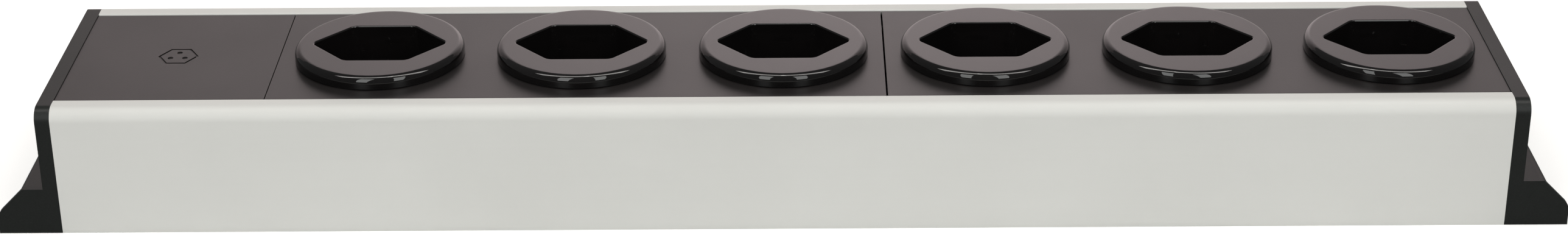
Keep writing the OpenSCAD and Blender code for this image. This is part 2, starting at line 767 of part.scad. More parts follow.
// Push-on sleeves on the inlet's tabs, each with a round barrel for its wire
module inlet_receptacles() {
    sleeve = [6.6, 2.4];
    slot = [inlet_tab.z + 0.3, inlet_tab.y + 0.2];
    barrel_length = 3;
    start_x = cap_face_x + receptacle_start;
    color([0.75, 0.75, 0.72]) for (pin = INLET_PINS)
        translate([start_x, pin[0], inlet_z + pin[1]]) difference() {
            union() {
                translate([0, -sleeve[1] / 2, -sleeve[0] / 2])
                    cube([receptacle_length - barrel_length + 1, sleeve[1], sleeve[0]]);
                translate([receptacle_length - barrel_length, 0, 0]) rotate([0, 90, 0])
                    cylinder(r = wire_radius + 0.4, h = barrel_length, $fn = 32);
            }
            translate([-1, -slot[1] / 2, -slot[0] / 2])
                cube([receptacle_length - barrel_length + 1.2, slot[1], slot[0]]);
        }
}

// ---- Wiring --------------------------------------------------------------------------------

module wire(route) {
    tube(smooth_route(route), wire_radius, wire_sides, [0, 0, 1]);
}

// A short wire that lies on the facing tails of two strips
module link_wire(y, z) {
    left_x = left_centre + base_length / 2 + 0.5;
    right_x = right_centre - base_length / 2 - 0.5;
    arch_height = 2;
    wire([[left_x, y, z], [left_x + 3, y, z + 0.3], [(left_x + right_x) / 2, y, z + arch_height],
        [right_x - 3, y, z + 0.3], [right_x, y, z]]);
}

module earth_lug() {
    lug_thickness = 0.8;
    lug_radius = 4.5;
    lug_hole_radius = 1.7;
    floor_z = profile_wall + 0.05;
    color([0.75, 0.75, 0.72]) difference() {
        union() {
            translate([lug_x, lug_y, floor_z])
                cylinder(r = lug_radius, h = lug_thickness, $fn = 48);
            translate([lug_x - 2, lug_y - 9, floor_z]) cube([6, 7, lug_thickness]);
        }
        translate([lug_x, lug_y, floor_z - 1]) cylinder(r = lug_hole_radius, h = 4, $fn = 32);
    }
}

module earth_screw() {
    head_z = profile_wall + 0.9;
    head_radius = 3;
    slot_length = 3.4;
    slot_width = 0.8;
    color([0.6, 0.6, 0.62]) translate([lug_x, lug_y, 0]) difference() {
        union() {
            translate([0, 0, 0.3]) cylinder(r = 1.4, h = head_z, $fn = 32);
            translate([0, 0, head_z])
                cylinder(r1 = head_radius, r2 = head_radius - 0.4, h = 2, $fn = 48);
        }
        for (angle = [0, 90]) translate([0, 0, head_z + 1.4]) rotate(angle)
            translate([-slot_length / 2, -slot_width / 2, 0]) cube([slot_length, slot_width, 2]);
    }
}

module insulating_liner() {
    thickness = 0.3;
    start_x = left_centre - base_length / 2 - 4;
    end_x = half_length - 5;
    color([0.9, 0.88, 0.75]) translate([start_x, -26, profile_wall + 0.05])
        cube([end_x - start_x, 52, thickness]);
}

housing_profile();
end_cap_left();
end_cap_right();
end_cap_screws();
blank_cover();
cover_plate(left_centre);  // cover_plate_left
cover_plate(right_centre);  // cover_plate_right
for (number = [1 : 6]) {
    socket_insert(number);
    shutter(number);
    shutter_spring(number);
}
module_base(left_centre);  // module_base_left
module_base(right_centre);  // module_base_right
base_cover(left_centre);  // base_cover_left
base_cover(right_centre);  // base_cover_right
bus_bar(left_centre, live_y, -pin_pitch / 2);  // live_bar_left
bus_bar(right_centre, live_y, -pin_pitch / 2);  // live_bar_right
bus_bar(left_centre, neutral_y, pin_pitch / 2);  // neutral_bar_left
bus_bar(right_centre, neutral_y, pin_pitch / 2);  // neutral_bar_right
earth_bar(left_centre);  // earth_bar_left
earth_bar(right_centre);  // earth_bar_right
module_screws(left_centre);  // module_screws_left
module_screws(right_centre);  // module_screws_right
inlet_body();
inlet_pins();
inlet_screws();
inlet_receptacles();
color([0.4, 0.22, 0.1]) wire(LIVE_ROUTE);  // live_wire
color([0.1, 0.3, 0.75]) wire(NEUTRAL_ROUTE);  // neutral_wire
color([0.4, 0.65, 0.15]) wire(EARTH_ROUTE);  // earth_wire
color([0.4, 0.65, 0.15]) wire(BOND_ROUTE);  // earth_bond_wire
color([0.4, 0.22, 0.1]) link_wire(live_y, strip_z + wire_lift);  // live_link
color([0.1, 0.3, 0.75]) link_wire(neutral_y, strip_z + wire_lift);  // neutral_link
color([0.4, 0.65, 0.15]) link_wire(-earth_offset, earth_strip_z + wire_lift);  // earth_link
earth_lug();
earth_screw();
insulating_liner();
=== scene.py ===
# %% [markdown]
# # A desk power strip, dressed in Blender
#
# The strip is a length of anodised aluminium profile. Two black end caps close it and carry the
# mounting feet. A blank cover and two three-gang cover plates fill its open top, and six glossy
# socket inserts stand in the plates. Inside are the contacts, shutters, springs and wiring.
#
# The CAD model already gives every size and place. It is loaded first and never changed: each
# shell that shows is modelled again here with rounded edges, and takes its CAD node's place.

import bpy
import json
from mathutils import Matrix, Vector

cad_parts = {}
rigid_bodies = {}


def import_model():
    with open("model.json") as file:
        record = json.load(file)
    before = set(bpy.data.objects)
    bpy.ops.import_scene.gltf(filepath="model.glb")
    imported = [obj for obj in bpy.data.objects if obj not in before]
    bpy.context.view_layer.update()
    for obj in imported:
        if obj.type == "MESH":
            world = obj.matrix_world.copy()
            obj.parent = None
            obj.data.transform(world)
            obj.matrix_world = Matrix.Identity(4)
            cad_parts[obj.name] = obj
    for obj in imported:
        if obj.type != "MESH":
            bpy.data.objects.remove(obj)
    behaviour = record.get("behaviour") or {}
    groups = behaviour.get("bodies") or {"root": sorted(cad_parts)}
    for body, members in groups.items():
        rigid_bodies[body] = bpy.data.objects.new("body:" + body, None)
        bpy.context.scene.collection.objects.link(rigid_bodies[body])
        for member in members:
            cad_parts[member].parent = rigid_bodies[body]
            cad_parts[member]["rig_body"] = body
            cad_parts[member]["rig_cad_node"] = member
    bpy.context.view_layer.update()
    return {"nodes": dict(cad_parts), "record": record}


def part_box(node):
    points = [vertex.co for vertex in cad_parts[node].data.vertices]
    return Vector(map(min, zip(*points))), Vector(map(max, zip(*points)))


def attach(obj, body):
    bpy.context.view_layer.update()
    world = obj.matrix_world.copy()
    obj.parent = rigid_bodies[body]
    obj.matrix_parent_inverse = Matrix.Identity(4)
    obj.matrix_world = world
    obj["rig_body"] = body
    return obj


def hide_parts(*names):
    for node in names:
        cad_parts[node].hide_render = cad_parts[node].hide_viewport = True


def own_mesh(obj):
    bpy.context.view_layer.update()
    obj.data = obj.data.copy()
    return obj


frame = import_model()

# %% [markdown]
# ## The camera
#
# A long lens stands a little over three quarters of a metre in front of the strip and looks down
# on it, so the long front face and the sockets on top both show. A camera in Blender looks along
# its own -Z axis. Three turns aim it: a roll about its own axis, a tilt up from straight down, and
# a turn about the vertical. The roll comes first, so it stands last in the product.

# %% Aim the camera
from math import atan2, cos, degrees, pi, radians, sin, tan

import bpy
from mathutils import Matrix, Vector

CAMERA_PLACE = (0.0034, -0.7674, 0.3843)
CAMERA_TURN = 0.222
LOOKS_DOWN = 25.564
CAMERA_ROLL = -0.428

camera_data = bpy.data.cameras.new("studio_camera")
camera_data.sensor_width = 36
camera_data.lens = 67.14
camera_data.clip_start = 0.05
camera_data.clip_end = 30
camera = bpy.data.objects.new("studio_camera", camera_data)
bpy.context.scene.collection.objects.link(camera)
turn = Matrix.Rotation(radians(CAMERA_TURN), 4, "Z")
tilt = Matrix.Rotation(radians(90 - LOOKS_DOWN), 4, "X")
roll = Matrix.Rotation(radians(CAMERA_ROLL), 4, "Z")
camera.matrix_world = Matrix.Translation(CAMERA_PLACE) @ turn @ tilt @ roll
bpy.context.scene.camera = camera
print("camera at", [round(v, 4) for v in camera.location], "lens", camera_data.lens, "mm")

# %% [markdown]
# ## Floor, backdrop and lights
#
# Glossy black plastic has almost no colour of its own: what is seen on it is the room. So the
# studio is laid out as a real one is, and the highlights follow by themselves.
#
# - A pale floor, and a lit paper backdrop behind the strip that the flat tops mirror.
# - Two upright softboxes, left and right of the camera, that light the front face.
# - Two softboxes overhead, that light the tops and draw thin lines along the round rims.
# - No mirror image of the floor: a studio lays black card before glossy black parts, or their
#   sides turn grey. Here the floor is simply left out of reflections.
#
# The lights and the backdrop are hidden from the camera itself. They light the strip and show in
# its reflections, and never stand in the way of a view from behind.

# %% Build the studio
MM = 0.001
FLOOR_SIZE = 12
FLOOR_Z = -0.02 * MM
BACKDROP_Y = 2.2
BACKDROP_WIDTH = 5
BACKDROP_HEIGHT = 1.75
POOL_CENTRE = (0.1, 0.8)
POOL_RADIUS = 2.2
POOL_STRENGTH = 1.3


def stage_material(name, colour, glow):
    """A matt paper, with an even glow of its own where it is lit from out of view."""
    material = bpy.data.materials.new(name)
    material.use_nodes = True
    shader = material.node_tree.nodes["Principled BSDF"]
    shader.inputs["Base Color"].default_value = (*colour, 1)
    shader.inputs["Roughness"].default_value = 0.9
    shader.inputs["Specular IOR Level"].default_value = 0.1
    shader.inputs["Emission Color"].default_value = (*colour, 1)
    shader.inputs["Emission Strength"].default_value = glow
    return material


def add_stage(name, material, size, location, tilt):
    """A flat sheet of the studio, which is no part of the strip."""
    bpy.ops.object.select_all(action="DESELECT")
    bpy.ops.mesh.primitive_plane_add(size=1, location=location, rotation=(tilt, 0, 0))
    sheet = bpy.context.object
    sheet.name = name
    sheet.scale = (*size, 1)
    bpy.ops.object.transform_apply(location=True, rotation=True, scale=True)
    sheet.data.materials.append(material)
    return sheet


def add_softbox(name, width, height, location, aim, radiance, colour):
    """A rectangular light that faces a point. Its power follows from how bright it looks."""
    light = bpy.data.lights.new(name, "AREA")
    light.shape = "RECTANGLE"
    light.size = width
    light.size_y = height
    light.energy = radiance * pi * width * height
    light.color = colour
    softbox = bpy.data.objects.new(name, light)
    bpy.context.scene.collection.objects.link(softbox)
    softbox.location = location
    softbox.rotation_euler = (Vector(aim) - Vector(location)).to_track_quat("-Z", "Y").to_euler()
    softbox.visible_camera = False


def pool_of_light(material, centre, radius, strength):
    """Makes a sheet's glow strongest at its centre, fading to nothing at the radius."""
    tree = material.node_tree
    coordinates = tree.nodes.new("ShaderNodeTexCoord")
    mapping = tree.nodes.new("ShaderNodeMapping")
    mapping.inputs["Location"].default_value = (-centre[0] / radius, 0, -centre[1] / radius)
    mapping.inputs["Scale"].default_value = (1 / radius, 0, 1 / radius)
    pool = tree.nodes.new("ShaderNodeTexGradient")
    pool.gradient_type = "QUADRATIC_SPHERE"
    glow = tree.nodes.new("ShaderNodeMapRange")
    glow.inputs["To Max"].default_value = strength
    tree.links.new(coordinates.outputs["Object"], mapping.inputs["Vector"])
    tree.links.new(mapping.outputs["Vector"], pool.inputs["Vector"])
    tree.links.new(pool.outputs["Fac"], glow.inputs["Value"])
    tree.links.new(glow.outputs["Result"],
                   tree.nodes["Principled BSDF"].inputs["Emission Strength"])


backdrop_paper = stage_material("lit_paper", colour=(1.0, 0.88, 0.885), glow=0)
pool_of_light(backdrop_paper, POOL_CENTRE, POOL_RADIUS, POOL_STRENGTH)
floor_paper = stage_material("pale_floor", colour=(0.93, 0.93, 0.92), glow=0.35)
floor = add_stage("floor", floor_paper, (FLOOR_SIZE, FLOOR_SIZE), (0, 0, FLOOR_Z), 0)
floor.visible_glossy = False
backdrop = add_stage("backdrop", backdrop_paper, (BACKDROP_WIDTH, BACKDROP_HEIGHT),
                     (0, BACKDROP_Y, BACKDROP_HEIGHT / 2), radians(90))
backdrop.visible_camera = False
for side in (-1, 1):
    name = "left" if side < 0 else "right"
    add_softbox(f"front_softbox_{name}", width=0.25, height=0.95,
                location=(side * 0.37, -0.74, 0.62), aim=(side * 0.15, 0, 0.1),
                radiance=3.4, colour=(0.985, 1.0, 0.985))
    add_softbox(f"top_softbox_{name}", width=0.24, height=0.8,
                location=(side * 0.36, -0.05, 1.06), aim=(side * 0.1, 0, 0),
                radiance=6.3, colour=(1.0, 0.97, 0.94))

world = bpy.data.worlds.new("studio_room")
world.use_nodes = True
world.node_tree.nodes["Background"].inputs["Color"].default_value = (0.9, 0.92, 0.92, 1)
world.node_tree.nodes["Background"].inputs["Strength"].default_value = 0.15
bpy.context.scene.world = world
bpy.context.scene.view_settings.view_transform = "Standard"
print("studio: floor, backdrop and", len(bpy.data.lights), "softboxes")


# %% [markdown]
# ## Finishes
#
# Every finish starts from the Principled shader. What makes it a real surface is the small
# unevenness: grain that catches the light, and a sheen that is not quite the same everywhere.
# The patterns read Object coordinates, which are metres here, so a noise scale of 2000 means
# grains of half a millimetre. Fixed numbers stay on the shader's own sockets.

# %% Helpers for finishes
def new_finish(name, roughness, metallic=0.0, specular=0.5):
    """A material with a Principled shader, and the node tree to build its pattern in."""
    material = bpy.data.materials.new(name)
    material.use_nodes = True
    shader = material.node_tree.nodes["Principled BSDF"]
    shader.inputs["Roughness"].default_value = roughness
    shader.inputs["Metallic"].default_value = metallic
    shader.inputs["Specular IOR Level"].default_value = specular
    return material, material.node_tree, shader


def noise(tree, scale, detail=2.0, stretch=(1, 1, 1)):
    """A cloudy pattern in metres. Stretch squeezes it along an axis, below 1 draws it out."""
    coordinates = tree.nodes.new("ShaderNodeTexCoord")
    mapping = tree.nodes.new("ShaderNodeMapping")
    mapping.inputs["Scale"].default_value = stretch
    pattern = tree.nodes.new("ShaderNodeTexNoise")
    pattern.inputs["Scale"].default_value = scale
    pattern.inputs["Detail"].default_value = detail
    tree.links.new(coordinates.outputs["Object"], mapping.inputs["Vector"])
    tree.links.new(mapping.outputs["Vector"], pattern.inputs["Vector"])
    return pattern.outputs["Fac"]


def spread(tree, value, low, high):
    """Turns a pattern's middle range into values from low to high."""
    scaled = tree.nodes.new("ShaderNodeMapRange")
    scaled.inputs["From Min"].default_value = 0.3
    scaled.inputs["From Max"].default_value = 0.7
    scaled.inputs["To Min"].default_value = low
    scaled.inputs["To Max"].default_value = high
    tree.links.new(value, scaled.inputs["Value"])
    return scaled.outputs["Result"]


def two_tones(tree, shader, value, dark, light):
    """Colours the surface between two close tones, as the pattern says."""
    ramp = tree.nodes.new("ShaderNodeValToRGB")
    ramp.color_ramp.elements[0].position = 0.3
    ramp.color_ramp.elements[1].position = 0.7
    ramp.color_ramp.elements[0].color = (*dark, 1)
    ramp.color_ramp.elements[1].color = (*light, 1)
    tree.links.new(value, ramp.inputs["Fac"])
    tree.links.new(ramp.outputs["Color"], shader.inputs["Base Color"])


def relief(tree, shader, value, distance, strength=0.5):
    """Raises the surface by the pattern. Distance is the height of the relief, in metres."""
    bump = tree.nodes.new("ShaderNodeBump")
    bump.inputs["Strength"].default_value = strength
    bump.inputs["Distance"].default_value = distance
    tree.links.new(value, bump.inputs["Height"])
    tree.links.new(bump.outputs["Normal"], shader.inputs["Normal"])


# %% [markdown]
# ### Anodised aluminium
#
# The profile is blasted and then anodised: a silky light grey with a very fine, even grain and no
# mirror shine. The anodic layer is clear oxide over metal, so only part of its shine is metallic.
# Long, faint streaks along the profile are left by the extrusion die, so that noise is drawn out
# along X.

# %% Anodised aluminium
def anodised_aluminium():
    material, tree, shader = new_finish("anodised_aluminium", 0.6, metallic=0.15)
    clouds = noise(tree, 18, 3)
    two_tones(tree, shader, clouds, (0.655, 0.655, 0.63), (0.685, 0.685, 0.66))
    streaks = noise(tree, 900, 2, stretch=(0.02, 1, 1))
    tree.links.new(spread(tree, streaks, 0.57, 0.65), shader.inputs["Roughness"])
    relief(tree, shader, noise(tree, 2600, 2), 0.012 * MM)
    return material


# %% [markdown]
# ### Moulded plastics
#
# The covers and end caps are moulded in tools with an etched, fine grain: dark, dull, and a touch
# warmer than black. One function makes them all, with its own colour and grain for each part. The
# grain is relief as well as tone, because a grain that is only painted on looks flat.

# %% Moulded plastics
def moulded_plastic(name, colour, roughness, grain, depth, specular=0.5, contrast=0.12):
    """A dull moulded plastic. Grain is the size of its texture in metres."""
    material, tree, shader = new_finish(name, roughness, specular=specular)
    texture = noise(tree, 1 / grain, 3)
    darker = tuple((1 - contrast) * c for c in colour)
    lighter = tuple((1 + contrast) * c for c in colour)
    two_tones(tree, shader, texture, darker, lighter)
    handling = noise(tree, 25, 4)
    tree.links.new(spread(tree, handling, 0.94 * roughness, 1.06 * roughness),
                   shader.inputs["Roughness"])
    relief(tree, shader, texture, depth)
    return material


# %% [markdown]
# ### Glossy plastic
#
# The socket inserts are polished. Their gloss is clear but not a mirror: polishing and shrinkage
# leave the face very slightly wavy, and dust and handling make the sheen a little uneven.

# %% Glossy plastic
def glossy_plastic():
    material, tree, shader = new_finish("insert_polished_black", 0.035)
    two_tones(tree, shader, noise(tree, 30, 2), (0.005, 0.0045, 0.0045), (0.007, 0.006, 0.006))
    haze = noise(tree, 140, 5)
    tree.links.new(spread(tree, haze, 0.025, 0.045), shader.inputs["Roughness"])
    relief(tree, shader, noise(tree, 90, 1), 0.004 * MM, 0.35)
    return material


# %% [markdown]
# ### Metals and wires inside
#
# Contacts are rolled brass strip, with fine lines along the strip. Screws are zinc plated, and the
# springs are drawn steel wire. Wire insulation is smooth, soft plastic; the earth wire carries its
# two colours as stripes along its length.

# %% Metals
def worked_metal(name, dark, light, roughness, stretch):
    """A plated or rolled metal. Its fine lines run along the axis that stretch draws out."""
    material, tree, shader = new_finish(name, roughness, metallic=1.0)
    two_tones(tree, shader, noise(tree, 160, 3), dark, light)
    lines = noise(tree, 2200, 2, stretch=stretch)
    tree.links.new(spread(tree, lines, 0.8 * roughness, 1.25 * roughness),
                   shader.inputs["Roughness"])
    relief(tree, shader, lines, 0.006 * MM, 0.4)
    return material


# %% Wire insulation
def insulation(name, colour):
    material, tree, shader = new_finish(name, 0.4)
    two_tones(tree, shader, noise(tree, 300, 2), tuple(0.85 * c for c in colour), colour)
    relief(tree, shader, noise(tree, 1500, 2), 0.01 * MM, 0.3)
    return material


def striped_insulation():
    """Green with yellow stripes, cut by height across the wire, as the wires run level."""
    material, tree, shader = new_finish("wire_green_yellow", 0.4)
    coordinates = tree.nodes.new("ShaderNodeTexCoord")
    stripes = tree.nodes.new("ShaderNodeTexWave")
    stripes.wave_type = "BANDS"
    stripes.bands_direction = "Z"
    stripes.inputs["Scale"].default_value = 100
    stripes.inputs["Distortion"].default_value = 0.3
    tree.links.new(coordinates.outputs["Object"], stripes.inputs["Vector"])
    ramp = tree.nodes.new("ShaderNodeValToRGB")
    ramp.color_ramp.elements[0].position = 0.45
    ramp.color_ramp.elements[1].position = 0.55
    ramp.color_ramp.elements[0].color = (0.06, 0.3, 0.03, 1)
    ramp.color_ramp.elements[1].color = (0.75, 0.6, 0.04, 1)
    tree.links.new(stripes.outputs["Fac"], ramp.inputs["Fac"])
    tree.links.new(ramp.outputs["Color"], shader.inputs["Base Color"])
    relief(tree, shader, noise(tree, 1500, 2), 0.01 * MM, 0.3)
    return material


# %% [markdown]
# ### One finish for each slot
#
# The record names a material slot for every part. A dictionary from slot to finish lets a loop
# dress all CAD nodes at once, and the new pieces take theirs from the same place.

# %% Dress the CAD nodes
FINISHES = {
    "aluminium_anodised": anodised_aluminium(),
    "cap_black": moulded_plastic(
        "cap_black", (0.014, 0.0157, 0.0146), roughness=0.37, grain=0.45 * MM, depth=0.02 * MM,
        specular=0.22),
    "cover_charcoal": moulded_plastic(
        "cover_charcoal", (0.015, 0.0132, 0.013), roughness=0.34, grain=0.42 * MM,
        depth=0.02 * MM),
    "insert_gloss_black": glossy_plastic(),
    "base_grey": moulded_plastic(
        "base_grey", (0.5, 0.49, 0.46), roughness=0.5, grain=0.5 * MM, depth=0.01 * MM,
        contrast=0.025),
    "base_cover_black": moulded_plastic(
        "base_cover_black", (0.04, 0.04, 0.042), roughness=0.5, grain=0.7 * MM,
        depth=0.02 * MM),
    "shutter_white": moulded_plastic(
        "shutter_white", (0.75, 0.74, 0.7), roughness=0.4, grain=0.4 * MM, depth=0.006 * MM,
        contrast=0.02),
    "contact_brass": worked_metal(
        "contact_brass", (0.72, 0.52, 0.22), (0.86, 0.66, 0.34), roughness=0.28,
        stretch=(0.04, 1, 1)),
    "tinned_brass": worked_metal(
        "tinned_brass", (0.66, 0.64, 0.6), (0.78, 0.77, 0.73), roughness=0.32,
        stretch=(0.2, 1, 1)),
    "spring_steel": worked_metal(
        "spring_steel", (0.5, 0.5, 0.52), (0.66, 0.66, 0.68), roughness=0.25,
        stretch=(1, 0.2, 1)),
    "zinc_screw": worked_metal(
        "zinc_screw", (0.55, 0.57, 0.6), (0.7, 0.71, 0.73), roughness=0.3, stretch=(1, 1, 1)),
    "wire_brown": insulation("wire_brown", (0.2, 0.085, 0.035)),
    "wire_blue": insulation("wire_blue", (0.03, 0.13, 0.5)),
    "wire_green_yellow": striped_insulation(),
    "liner_film": moulded_plastic(
        "liner_film", (0.72, 0.68, 0.5), roughness=0.35, grain=2 * MM, depth=0.01 * MM,
        contrast=0.03),
    "inlet_black": moulded_plastic(
        "inlet_black", (0.02, 0.02, 0.021), roughness=0.45, grain=0.6 * MM, depth=0.02 * MM),
}
SLOT_OF = {part["node"]: part["material_slot"] for part in frame["record"]["subparts"]}


def dress(piece, slot):
    """Gives a piece its one finish."""
    piece.data.materials.clear()
    piece.data.materials.append(FINISHES[slot])


for node, slot in SLOT_OF.items():
    dress(frame["nodes"][node], slot)
print("dressed", len(SLOT_OF), "nodes in", len(FINISHES), "finishes")

# %% [markdown]
# ## Tools for modelling
#
# Every shell below is made in the same few steps that a modeller takes by hand: draw an outline,
# extrude it, cut it with other solids, and round its edges. These helpers name those steps. An
# operator acts on all that is selected, so each helper starts by selecting only what it needs.

# %% Selecting
SAME_PLACE = 0.001 * MM


def only(piece):
    """Selects one piece and nothing else."""
    bpy.ops.object.select_all(action="DESELECT")
    piece.select_set(True)
    bpy.context.view_layer.objects.active = piece


def pick_edges(piece, wanted):
    """In edit mode, selects the edges whose two ends and midpoint pass a test."""
    bpy.ops.mesh.select_mode(type="EDGE")
    bpy.ops.mesh.select_all(action="DESELECT")
    bpy.ops.object.mode_set(mode="OBJECT")
    mesh = piece.data
    for edge in mesh.edges:
        ends = [mesh.vertices[i].co for i in edge.vertices]
        if wanted(ends[0]) and wanted(ends[1]) and wanted((ends[0] + ends[1]) / 2):
            edge.select = True
    bpy.ops.object.mode_set(mode="EDIT")


# %% Drawing and extruding
def arc(centre, radius, start, end, steps):
    """Points of an arc in a plane, angles in degrees, both ends included."""
    return [(centre[0] + radius * cos(radians(start + (end - start) * i / steps)),
             centre[1] + radius * sin(radians(start + (end - start) * i / steps)))
            for i in range(steps + 1)]


def draw_line(name, points):
    """A chain of edges: one vertex, extruded from point to point."""
    points = [Vector(p) for p in points]
    bpy.ops.object.select_all(action="DESELECT")
    bpy.ops.mesh.primitive_plane_add(size=MM, location=points[0])
    piece = bpy.context.object
    piece.name = name
    bpy.ops.object.transform_apply(location=True, rotation=True, scale=True)
    bpy.ops.object.mode_set(mode="EDIT")
    bpy.ops.mesh.select_mode(type="VERT")
    bpy.ops.mesh.select_all(action="SELECT")
    bpy.ops.mesh.merge(type="CENTER")
    for here, there in zip(points, points[1:]):
        bpy.ops.mesh.extrude_region_move(TRANSFORM_OT_translate={"value": there - here})
    bpy.ops.object.mode_set(mode="OBJECT")
    return piece


def draw_face(name, points):
    """A flat face: a drawn line whose outline is closed and filled."""
    piece = draw_line(name, points)
    bpy.ops.object.mode_set(mode="EDIT")
    bpy.ops.mesh.select_all(action="SELECT")
    bpy.ops.mesh.edge_face_add()
    bpy.ops.object.mode_set(mode="OBJECT")
    return piece


def solid_from(name, points, push):
    """A solid: a drawn face, extruded by a vector, with its faces turned outwards."""
    piece = draw_face(name, points)
    bpy.ops.object.mode_set(mode="EDIT")
    bpy.ops.mesh.select_mode(type="FACE")
    bpy.ops.mesh.select_all(action="SELECT")
    bpy.ops.mesh.extrude_region_move(TRANSFORM_OT_translate={"value": Vector(push)})
    bpy.ops.mesh.select_all(action="SELECT")
    bpy.ops.mesh.normals_make_consistent(inside=False)
    bpy.ops.object.mode_set(mode="OBJECT")
    return piece


def block(low, high):
    """A box between two corners."""
    bpy.ops.object.select_all(action="DESELECT")
    middle = (Vector(low) + Vector(high)) / 2
    bpy.ops.mesh.primitive_cube_add(size=1, location=middle)
    piece = bpy.context.object
    piece.scale = Vector(high) - Vector(low)
    bpy.ops.object.transform_apply(location=True, rotation=True, scale=True)
    return piece


def drill(start, end, radius, end_radius=None, sides=48):
    """A round cutter between two points, straight or conical."""
    start, end = Vector(start), Vector(end)
    axis = end - start
    bpy.ops.object.select_all(action="DESELECT")
    bpy.ops.mesh.primitive_cone_add(
        vertices=sides, radius1=radius, radius2=radius if end_radius is None else end_radius,
        depth=axis.length, location=(start + end) / 2,
        rotation=axis.to_track_quat("Z", "Y").to_euler())
    bpy.ops.object.transform_apply(location=True, rotation=True, scale=True)
    return bpy.context.object


# %% Cutting, joining and rounding
def combine(piece, others, operation):
    """Adds solids to a piece (UNION) or cuts them from it (DIFFERENCE)."""
    for other in others:
        boolean = piece.modifiers.new("combine", "BOOLEAN")
        boolean.operation = operation
        boolean.solver = "EXACT"
        boolean.object = other
        only(piece)
        bpy.ops.object.modifier_apply(modifier=boolean.name)
        bpy.data.objects.remove(other, do_unlink=True)
    return piece


def clean_up(piece, flat=0.5, merge=SAME_PLACE):
    """Merges doubled points and dissolves the edges that lie inside flat faces."""
    only(piece)
    bpy.ops.object.mode_set(mode="EDIT")
    bpy.ops.mesh.select_all(action="SELECT")
    bpy.ops.mesh.remove_doubles(threshold=merge)
    bpy.ops.mesh.dissolve_limited(angle_limit=radians(flat))
    bpy.ops.object.mode_set(mode="OBJECT")


def round_edges(piece, radius, segments, wanted=None, angle=40):
    """Rounds the sharp edges of a piece, or only those that pass a test."""
    if wanted is None:
        bevel = piece.modifiers.new("round", "BEVEL")
        bevel.width = radius
        bevel.segments = segments
        bevel.limit_method = "ANGLE"
        bevel.angle_limit = radians(angle)
        only(piece)
        bpy.ops.object.modifier_apply(modifier=bevel.name)
        return
    only(piece)
    bpy.ops.object.mode_set(mode="EDIT")
    pick_edges(piece, wanted)
    bpy.ops.mesh.bevel(offset=radius, segments=segments, affect="EDGES", clamp_overlap=True)
    bpy.ops.object.mode_set(mode="OBJECT")


# %% [markdown]
# A finished piece is shaded smooth except across its sharp edges. Weighted normals keep its large
# flat faces looking flat, and leave the bending of the light to the narrow roundings between them.
# The piece then rides on a body, takes its slot's finish and stands in for its CAD node. Triangles
# are counted, because a shape that looks simple can hide a heavy mesh.

# %% Handing a piece over
def hand_over(piece, nodes, body="housing", angle=32):
    nodes = [nodes] if isinstance(nodes, str) else nodes
    only(piece)
    bpy.ops.object.shade_smooth_by_angle(angle=radians(angle))
    weigh = piece.modifiers.new("weigh", "WEIGHTED_NORMAL")
    weigh.keep_sharp = True
    bpy.ops.object.modifier_apply(modifier=weigh.name)
    slot = SLOT_OF[nodes[0]]
    dress(piece, slot)
    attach(piece, body)
    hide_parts(*nodes)
    low, high = (Vector(corner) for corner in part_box(nodes[0]))
    mine = [piece.matrix_world @ v.co for v in piece.data.vertices]
    size = [max(c) - min(c) for c in zip(*mine)]
    piece.data.calc_loop_triangles()
    print(f"{piece.name}: {len(piece.data.loop_triangles)} triangles, "
          f"{[round(v / MM, 2) for v in size]} mm, "
          f"node {[round(v / MM, 2) for v in high - low]} mm")


# %% [markdown]
# ## The aluminium profile
#
# The real profile is one extrusion: a channel with rounded top edges, two lips that turn in over
# the covers, a rail inside each wall for the covers to rest on, and four open screw ports that the
# end caps' screws bite into. In Blender it is made the same way, as one outline drawn once and
# pushed along its length. Half the outline is listed from the floor's middle outwards, up over
# the lip and back down inside, and the other half is its mirror image.

# %% The profile's outline
WALL = 2 * MM
EDGE_RADIUS = 4 * MM
LIP_WIDTH = 7.2 * MM
LIP_EDGE = 0.5 * MM
RAIL_Z = (32.4 * MM, 33.9 * MM)
RAIL_REACH = 4.6 * MM
PORT_Y = 32.3 * MM
PORT_HEIGHTS = (8 * MM, 29.8 * MM)
PORT_RADIUS = 3.4 * MM
PORT_BORE = 1.45 * MM
PORT_SLOT = 0.8 * MM

profile_low, profile_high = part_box("housing_profile")
HALF_DEPTH = profile_high.y
TOP = profile_high.z


def port_outline(z, first_angle, last_angle):
    """Around a screw port from above, in through its slot, round the bore and out again."""
    centre = (PORT_Y, z)
    outer = degrees(atan2(PORT_SLOT, PORT_RADIUS))
    inner = degrees(atan2(PORT_SLOT, PORT_BORE))
    return (arc(centre, PORT_RADIUS, first_angle, 180 - outer, 10)
            + arc(centre, PORT_BORE, 180 - inner, inner - 180, 20)
            + arc(centre, PORT_RADIUS, 180 + outer, last_angle, 10))


